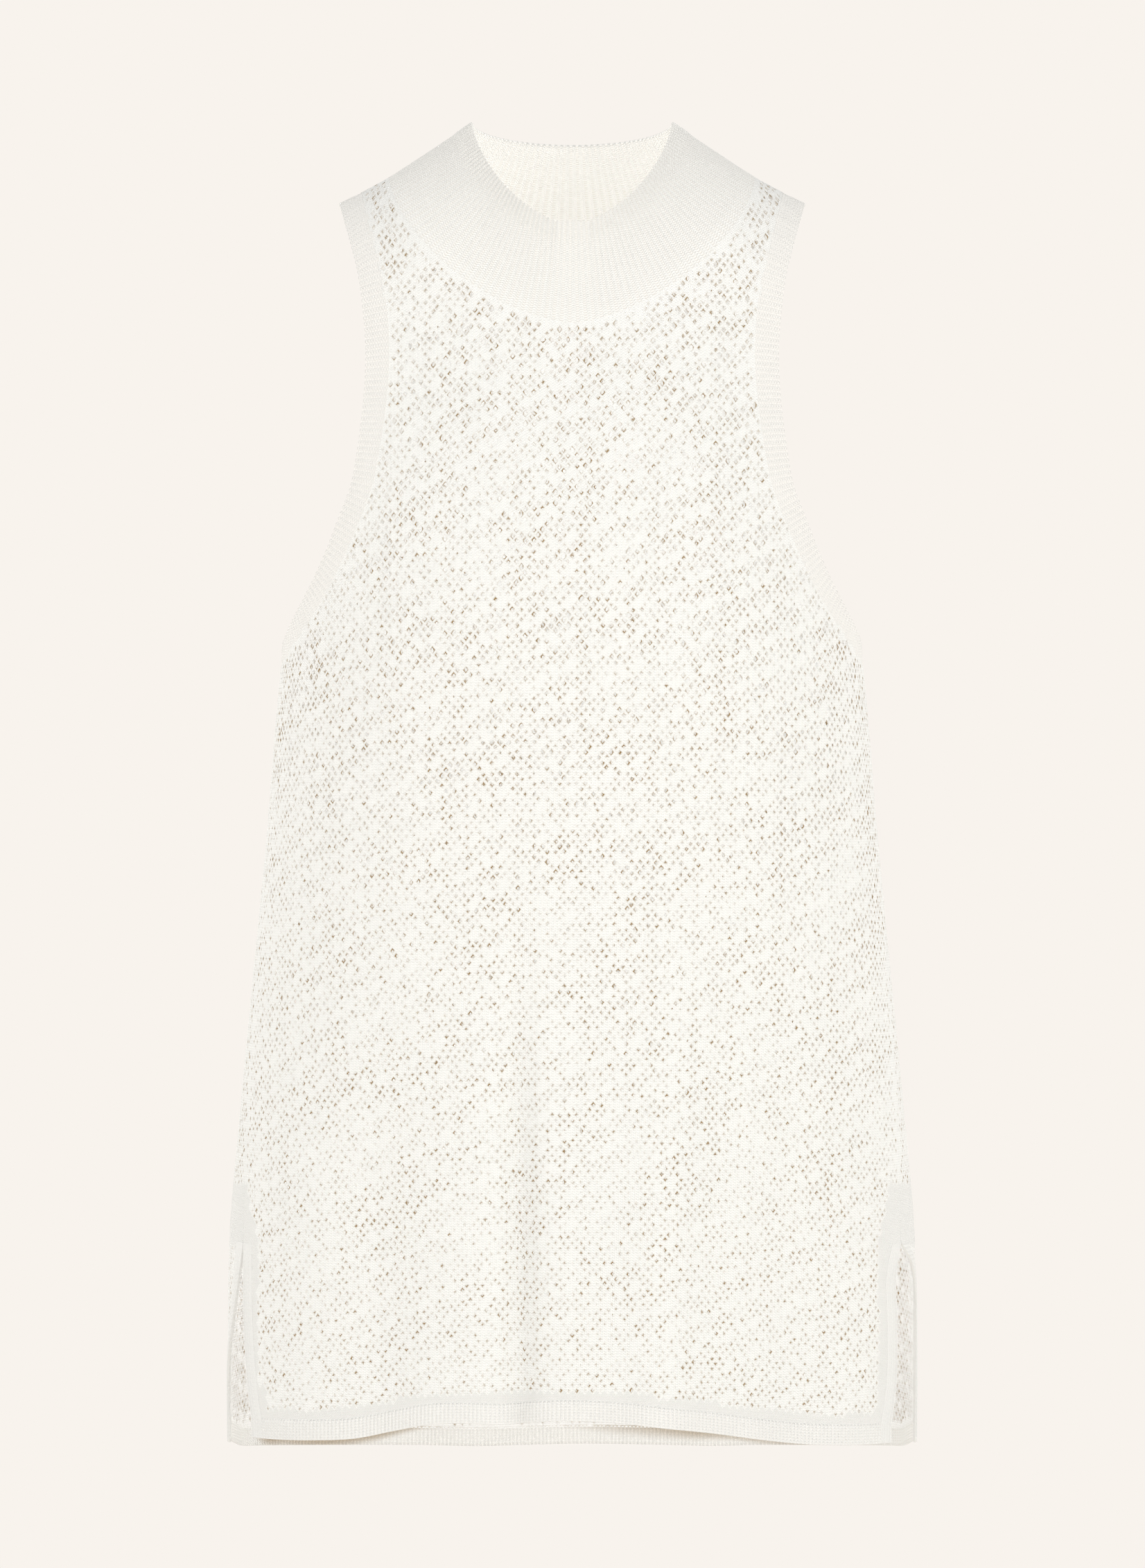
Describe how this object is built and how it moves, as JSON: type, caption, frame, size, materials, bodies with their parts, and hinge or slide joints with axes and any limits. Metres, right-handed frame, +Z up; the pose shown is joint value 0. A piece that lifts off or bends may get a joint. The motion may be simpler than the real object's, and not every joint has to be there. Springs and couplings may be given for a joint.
{
  "type": "knit top",
  "caption": "Long sleeveless openwork knit top with a ribbed funnel collar, ribbed armholes and hem, and side slits, filled out and hollow.",
  "frame": {"origin": "midway between the two shoulder tips, where the wearer's shoulders hold the garment up", "axes": "+Z up along the body, +X to the viewer's right when facing the front, the front faces -Y"},
  "size_m": [0.409, 0.253, 0.7962],
  "materials": {
    "openwork": "off-white cotton openwork knit, matt, slightly fuzzy",
    "rib": "off-white cotton 1x1 rib knit, matt"
  },
  "bodies": {
    "root": {"front_panel": "openwork", "back_panel": "openwork", "collar": "rib", "right_armhole_band": "rib", "left_armhole_band": "rib", "front_hem_band": "rib", "back_hem_band": "rib", "front_right_slit_band": "rib", "front_left_slit_band": "rib", "back_right_slit_band": "rib", "back_left_slit_band": "rib"}
  },
  "joints": []
}
